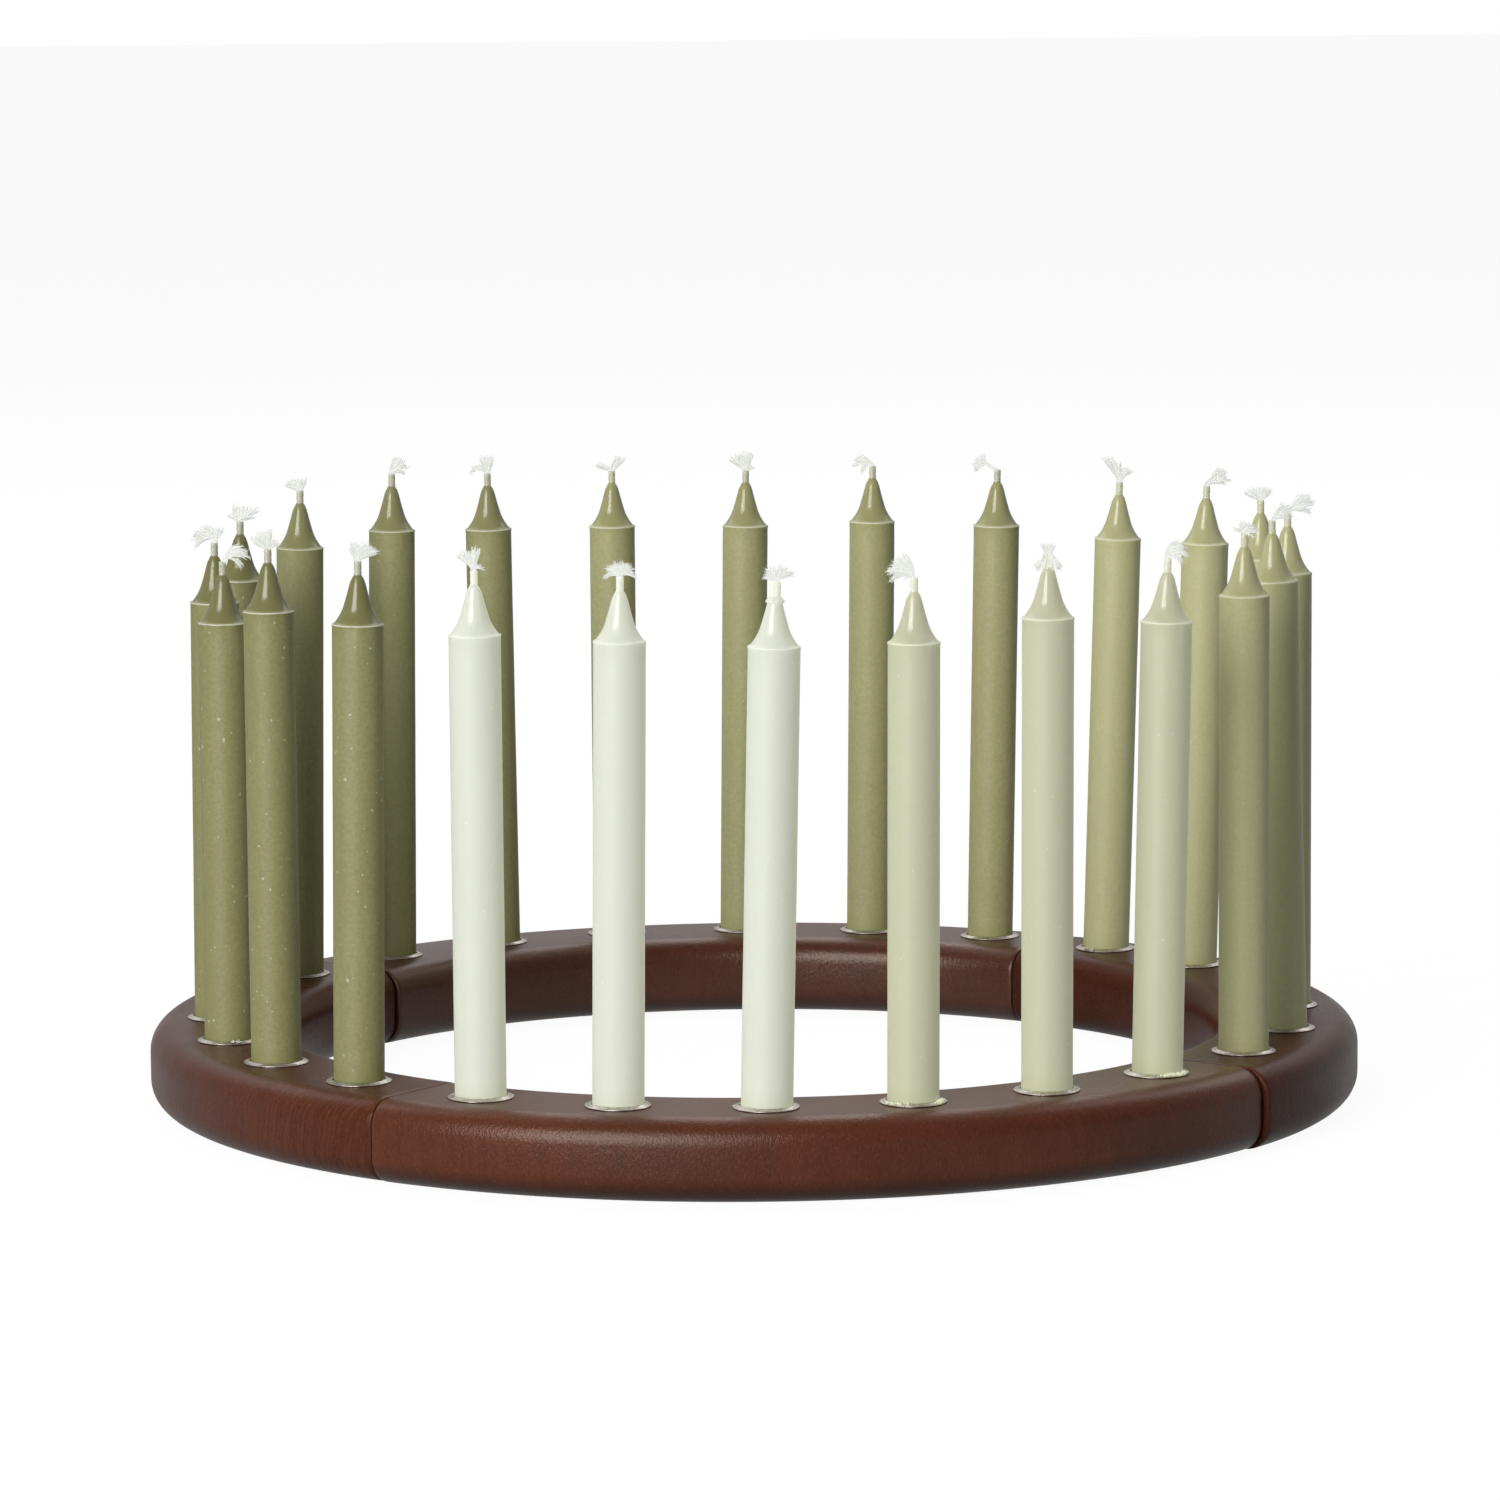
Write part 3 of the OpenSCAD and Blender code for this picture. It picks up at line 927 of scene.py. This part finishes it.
def strand_path(start, neck, lock, depth, jitter, rng, steps=9):
    """A strand from the stub up the neck, then out along its lock, bending and drooping."""
    neck_turn, neck_length = neck
    turn, droop, length = lock[:3]
    turn += jitter
    length *= rng.uniform(*STRAND_SHARES)
    total = neck_length + length
    path = [start]
    for i in range(1, steps + 1):
        run = total * i / steps
        if run < neck_length:
            now = heading(neck_turn * min(1, run / max(0.8, 0.4 * neck_length)), 0)
        else:
            share = (run - neck_length) / length
            opening = min(1, share / OPENS_OVER)
            opening = opening * opening * (3 - 2 * opening)
            deep = depth * opening
            if abs(turn) >= HANGS_FROM:
                deep = 3 * depth * opening * (1 - share) ** 2
            now = heading(neck_turn + (turn - neck_turn) * opening + droop * share * share, deep)
        wander = Vector([rng.gauss(0, WANDER) for axis in range(3)])
        path.append(path[-1] + (now + wander) * total / steps)
    return path


def tuft(side, k, matrix, height):
    """One frayed wick end: strands in locks, with fine hairs at their tips."""
    neck, locks = TUFTS[(side, k)]
    rng = random.Random(1000 * SIDES.index(side) + k)
    points = []
    faces = []
    for lock in locks:
        spread, plies = lock[3:]
        strands = plies * STRANDS_PER_PLY
        for n in range(strands):
            place = 2 * (n + 0.5) / strands - 1
            layer = BUNDLE_HALF_D * ((n * GOLDEN) % 1 * 2 - 1)
            start = Vector((BUNDLE_HALF_W * place, layer, height - STRAND_ROOT))
            depth = 30 * layer + rng.gauss(0, 5)
            jitter = 1.7 * spread * place + rng.gauss(0, 2)
            path = strand_path(start, neck, lock, depth, jitter, rng)
            thick = STRAND_R * rng.uniform(0.85, 1.15)
            radii = [thick * (1 - 0.35 * (i / (len(path) - 1)) ** 3) for i in range(len(path))]
            tube(points, faces, path, radii, STRAND_SIDES)
            for hair in range(HAIRS_PER_STRAND):
                fray(points, faces, path, rng)
    points = [matrix @ p for p in points]
    body = f"{side}_candle_{k}"
    made = piece(f"tuft_{side}_{k}", points, faces, body, COTTON, f"wick_{side}_{k}")


def fray(points, faces, path, rng):
    """A fine hair that leaves a strand near its tip."""
    at = rng.choice((-3, -2, -1))
    ahead = (path[at] - path[at - 1]).normalized()
    aside = Vector([rng.gauss(0, 0.45) for axis in range(3)])
    step = (ahead + aside) * rng.uniform(0.2, 0.4)
    bend = Vector([rng.gauss(0, 0.08) for axis in range(3)])
    hair = [path[at] - ahead * 0.1, path[at] + step, path[at] + 2 * step + bend]
    tube(points, faces, hair, [HAIR_R, HAIR_R, HAIR_R * 0.5], HAIR_SIDES)


# The stage

# The floor's own grey, the white that it adds for the camera, and how much of it the pieces mirror
FLOOR_SIZE = 30
FLOOR_SHADE = 0.1
FLOOR_WHITE = 0.94
FLOOR_MIRRORED = 0.45


def floor():
    """A white floor that keeps the ring's shadow."""
    bpy.ops.mesh.primitive_plane_add(size=FLOOR_SIZE)
    made = bpy.context.object
    made.name = "floor"
    m = Nodes("floor")
    m.set(Base_Color=(*[FLOOR_SHADE] * 3, 1), Roughness=1.0, Specular_IOR_Level=0.0)
    output = m.tree.nodes["Material Output"]
    glow = m.add("ShaderNodeEmission")
    glow.inputs["Color"].default_value = (1, 1, 1, 1)
    glow.inputs["Strength"].default_value = FLOOR_WHITE
    both = m.add("ShaderNodeAddShader")
    m.link(m.shader.outputs["BSDF"], both.inputs[0])
    m.link(glow.outputs["Emission"], both.inputs[1])
    seen = m.add("ShaderNodeMixShader")
    path = m.add("ShaderNodeLightPath")
    mirrored = m.math("MULTIPLY", path.outputs["Is Glossy Ray"], FLOOR_MIRRORED)
    direct = m.math("MAXIMUM", path.outputs["Is Camera Ray"], mirrored)
    direct = m.math("MAXIMUM", direct, path.outputs["Is Transmission Ray"])
    m.link(direct, seen.inputs["Fac"])
    m.link(m.shader.outputs["BSDF"], seen.inputs[1])
    m.link(both.outputs["Shader"], seen.inputs[2])
    m.link(seen.outputs["Shader"], output.inputs["Surface"])
    made.data.materials.append(m.material)


# The even fill that the world gives
WORLD_LIGHT = 0.08
# As reflections show it, the studio is bright behind the ring and dim in front, and a little
# dimmer overhead than at the horizon. Each change has the parts of the direction between which it
# happens, and the light at its two ends.
HORIZON_TO_OVERHEAD = (0.12, 0.5)
HORIZON_TO_OVERHEAD_LIGHT = (0.43, 0.4)
FRONT_TO_BACK = (-0.3, 0.35)
FRONT_TO_BACK_LIGHT = (0.25, 1.0)


def world():
    """White to the camera, a studio to reflections, and a soft even fill for everything else."""
    made = bpy.data.worlds.new("studio")
    bpy.context.scene.world = made
    made.use_nodes = True
    t = Tree(made.node_tree)
    backdrop = t.tree.nodes["Background"]
    backdrop.inputs["Color"].default_value = (1, 1, 1, 1)
    path = t.add("ShaderNodeLightPath")
    way = t.add("ShaderNodeTexCoord").outputs["Generated"]
    mirrored = path.outputs["Is Glossy Ray"]
    for axis, span, light in (
        ("Z", HORIZON_TO_OVERHEAD, HORIZON_TO_OVERHEAD_LIGHT),
        ("Y", FRONT_TO_BACK, FRONT_TO_BACK_LIGHT),
    ):
        mirrored = t.math("MULTIPLY", mirrored, t.ramp(t.part(way, axis), *span, *light))
    seen = t.math("MAXIMUM", path.outputs["Is Camera Ray"], mirrored)
    seen = t.math("MAXIMUM", seen, path.outputs["Is Transmission Ray"])
    strength = t.ramp(seen, 0, 1, WORLD_LIGHT, 1.0, kind="LINEAR")
    t.link(strength, backdrop.inputs["Strength"])


# The middle of the ring with its candles, in metres, where the lamps point
LAMP_AIM = Vector((0, 0, 0.07))
# Each lamp: degrees to the left and up, distance, width and height, power
LAMPS = {
    "key": (28, 20, 2.2, (1.25, 1.5), 47),
    "fill_left": (150, 50, 2.4, (2.2, 1.8), 15),
    "fill_right": (-150, 50, 2.4, (2.2, 1.8), 16),
}


def softbox(name, left, up, distance, size, power):
    """A rectangular lamp, so many degrees to the left of the front and up, in metres and watts."""
    left = math.radians(left)
    up = math.radians(up)
    flat = math.cos(up)
    way = Vector((-math.sin(left) * flat, -math.cos(left) * flat, math.sin(up)))
    place = LAMP_AIM + distance * way
    light = bpy.data.lights.new(name, "AREA")
    light.shape = "RECTANGLE"
    light.size, light.size_y = size
    light.energy = power
    made = bpy.data.objects.new(name, light)
    bpy.context.scene.collection.objects.link(made)
    made.location = place
    made.rotation_euler = (-way).to_track_quat("-Z", "Y").to_euler()


def camera():
    """The camera at the photograph's place, with its roll."""
    lens = bpy.data.cameras.new("camera")
    lens.sensor_width = SENSOR_MM
    lens.lens = FOCAL_PIXELS / PHOTO_PIXELS * SENSOR_MM
    made = bpy.data.objects.new("camera", lens)
    bpy.context.scene.collection.objects.link(made)
    aim = Vector(CAMERA_AIM)
    pitch = math.radians(CAMERA_PITCH)
    place = aim + CAMERA_DISTANCE * Vector((0, -math.cos(pitch), math.sin(pitch)))
    level = (aim - place).to_track_quat("-Z", "Y").to_matrix().to_4x4()
    roll = Matrix.Rotation(math.radians(-CAMERA_ROLL), 4, "Z")
    made.matrix_world = Matrix.Translation(place * MM) @ level @ roll
    bpy.context.scene.camera = made


# Everything in its place

for arc in range(len(SIDES)):
    wooden_arc(arc)
    for k in range(CUPS_PER_ARC):
        cup(arc, k)
for side in SIDES:
    for k in range(1, CUPS_PER_ARC + 1):
        tuft(side, k, *candle(side, k))
for side, k in CRUMBS:
    crumbs(side, k)

floor()
world()
for name, settings in LAMPS.items():
    softbox(name, *settings)
camera()
bpy.context.scene.view_settings.view_transform = "Standard"
